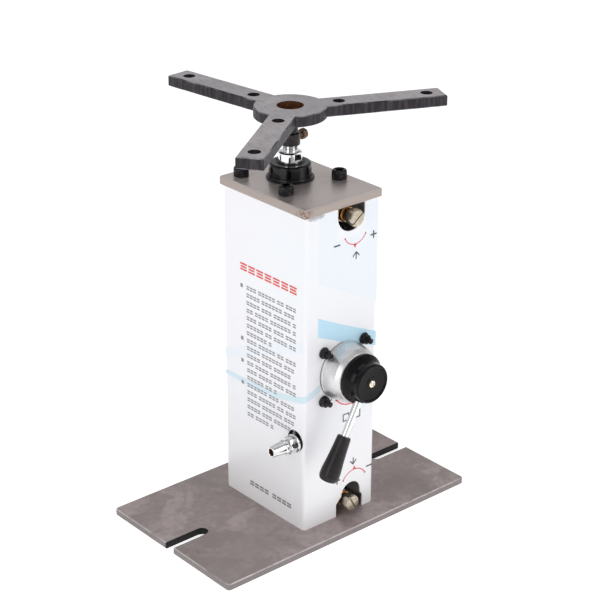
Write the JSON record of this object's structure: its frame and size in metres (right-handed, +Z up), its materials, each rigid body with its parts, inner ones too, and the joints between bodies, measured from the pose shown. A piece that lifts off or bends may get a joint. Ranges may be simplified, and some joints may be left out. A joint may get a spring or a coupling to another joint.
{
  "type": "pneumatic lifting jack",
  "caption": "Air-powered lifting jack: slotted base plate, sheet-metal column around a tie-rod cylinder, hand valve, speed adjusters and a three-armed swivelling head on the rod.",
  "frame": {"origin": "centre of the base plate's underside, the face it stands on", "axes": "+Z up along the rod's travel, +X along the base plate's long side, -Y out of the face with the valve and speed adjusters"},
  "size_m": [0.34, 0.2953, 0.4535],
  "materials": {
    "mill_scale_steel": "brown-grey mill scale, matte",
    "ground_steel": "ground, warm grey",
    "white_sheet": "white printed film on steel sheet",
    "black_screw": "blackened steel",
    "black_cap": "black gloss paint on cast aluminium",
    "barrel_aluminium": "drawn, satin",
    "cast_aluminium": "satin, fine turned",
    "black_rubber": "matte",
    "zinc_steel": "zinc plated",
    "brass": "machined",
    "brass_zinc": "yellow zinc plated",
    "bronze": "sintered bronze",
    "rod_chrome": "hard chrome, polished",
    "wear_plastic": "filled nylon",
    "blued_steel": "dark blue-grey mill scale",
    "black_steel": "blackened",
    "rusty_steel": "brown rust",
    "spring_steel": "oiled wire",
    "black_gloss_plastic": "moulded, glossy",
    "black_matte_plastic": "moulded, fine texture",
    "lever_chrome": "bright chrome",
    "plug_chrome": "bright nickel-chrome",
    "nickel_brass": "nickel plated brass",
    "dull_nickel": "dull nickel with handling marks",
    "hose_plastic": "polyurethane hose"
  },
  "bodies": {
    "jack_frame": {"barrel_seals": "black_rubber", "base_plate": "mill_scale_steel", "base_screws": "black_screw", "column_cover": "white_sheet", "cushion_needles": "brass", "cylinder_barrel": "barrel_aluminium", "exhaust_silencer": "bronze", "front_end_cap": "black_cap", "gland_gasket": "black_rubber", "lower_banjo_body": "black_gloss_plastic", "lower_hollow_bolt": "nickel_brass", "lower_hose": "hose_plastic", "lower_hose_fitting": "nickel_brass", "lower_metering_sleeve": "bronze", "quick_plug": "plug_chrome", "rear_end_cap": "black_cap", "rod_bush": "bronze", "rod_gland": "black_cap", "rod_wiper": "black_rubber", "supply_elbow": "nickel_brass", "supply_pipe": "zinc_steel", "supply_riser": "zinc_steel", "tie_rod_nuts": "zinc_steel", "tie_rods": "zinc_steel", "top_plate": "ground_steel", "top_screws": "black_screw", "upper_banjo_body": "black_gloss_plastic", "upper_hollow_bolt": "nickel_brass", "upper_hose": "hose_plastic", "upper_hose_fitting": "nickel_brass", "upper_metering_sleeve": "bronze", "valve_block": "cast_aluminium", "valve_bolts": "black_screw", "valve_dome": "cast_aluminium", "valve_nuts": "black_screw"},
    "lift_rod": {"piston_rod": "rod_chrome", "piston": "barrel_aluminium", "piston_seals": "black_rubber", "wear_ring": "wear_plastic", "piston_nut": "zinc_steel", "cushion_sleeve": "zinc_steel"},
    "lifting_head": {"head_spider": "blued_steel", "head_stem": "black_steel", "set_bolt": "rusty_steel"},
    "hand_lever": {"valve_knob": "black_gloss_plastic", "lever_rod": "lever_chrome", "lever_grip": "black_matte_plastic", "knob_screw": "brass_zinc", "valve_spindle": "zinc_steel", "valve_rotor": "zinc_steel", "rotor_spring": "spring_steel"},
    "upper_adjuster_slide": {"upper_adjuster_seal": "black_rubber"},
    "upper_adjuster": {"upper_adjuster_screw": "dull_nickel", "upper_metering_needle": "brass"},
    "lower_adjuster_slide": {"lower_adjuster_seal": "black_rubber"},
    "lower_adjuster": {"lower_adjuster_screw": "dull_nickel", "lower_metering_needle": "brass"}
  },
  "joints": [
    {"name": "rod_lift", "type": "slide", "parent": "jack_frame", "child": "lift_rod", "axis": [0, 0, 1], "range_m": [0, 0.25]},
    {"name": "head_swivel", "type": "hinge", "parent": "lift_rod", "child": "lifting_head", "pos_m": [0.007, 0.012, 0.418], "axis": [0, 0, 1], "continuous": true},
    {"name": "lever_turn", "type": "hinge", "parent": "jack_frame", "child": "hand_lever", "pos_m": [0.01, -0.1, 0.184], "axis": [0, -1, 0], "range_deg": [-45, 45]},
    {"name": "upper_adjuster_travel", "type": "slide", "parent": "jack_frame", "child": "upper_adjuster_slide", "axis": [0, -1, 0], "range_m": [-0.001, 0.004]},
    {"name": "upper_adjuster_turn", "type": "hinge", "parent": "upper_adjuster_slide", "child": "upper_adjuster", "pos_m": [0.018, -0.06, 0.3545], "axis": [0, -1, 0], "range_deg": [-360, 1440]},
    {"name": "lower_adjuster_travel", "type": "slide", "parent": "jack_frame", "child": "lower_adjuster_slide", "axis": [0, -1, 0], "range_m": [-0.001, 0.004]},
    {"name": "lower_adjuster_turn", "type": "hinge", "parent": "lower_adjuster_slide", "child": "lower_adjuster", "pos_m": [0.018, -0.06, 0.023], "axis": [0, -1, 0], "range_deg": [-360, 1440]}
  ],
  "couplings": [
    {"joint": "upper_adjuster_travel", "follows": "upper_adjuster_turn", "m_per_rad": 0.00015915},
    {"joint": "lower_adjuster_travel", "follows": "lower_adjuster_turn", "m_per_rad": 0.00015915}
  ]
}
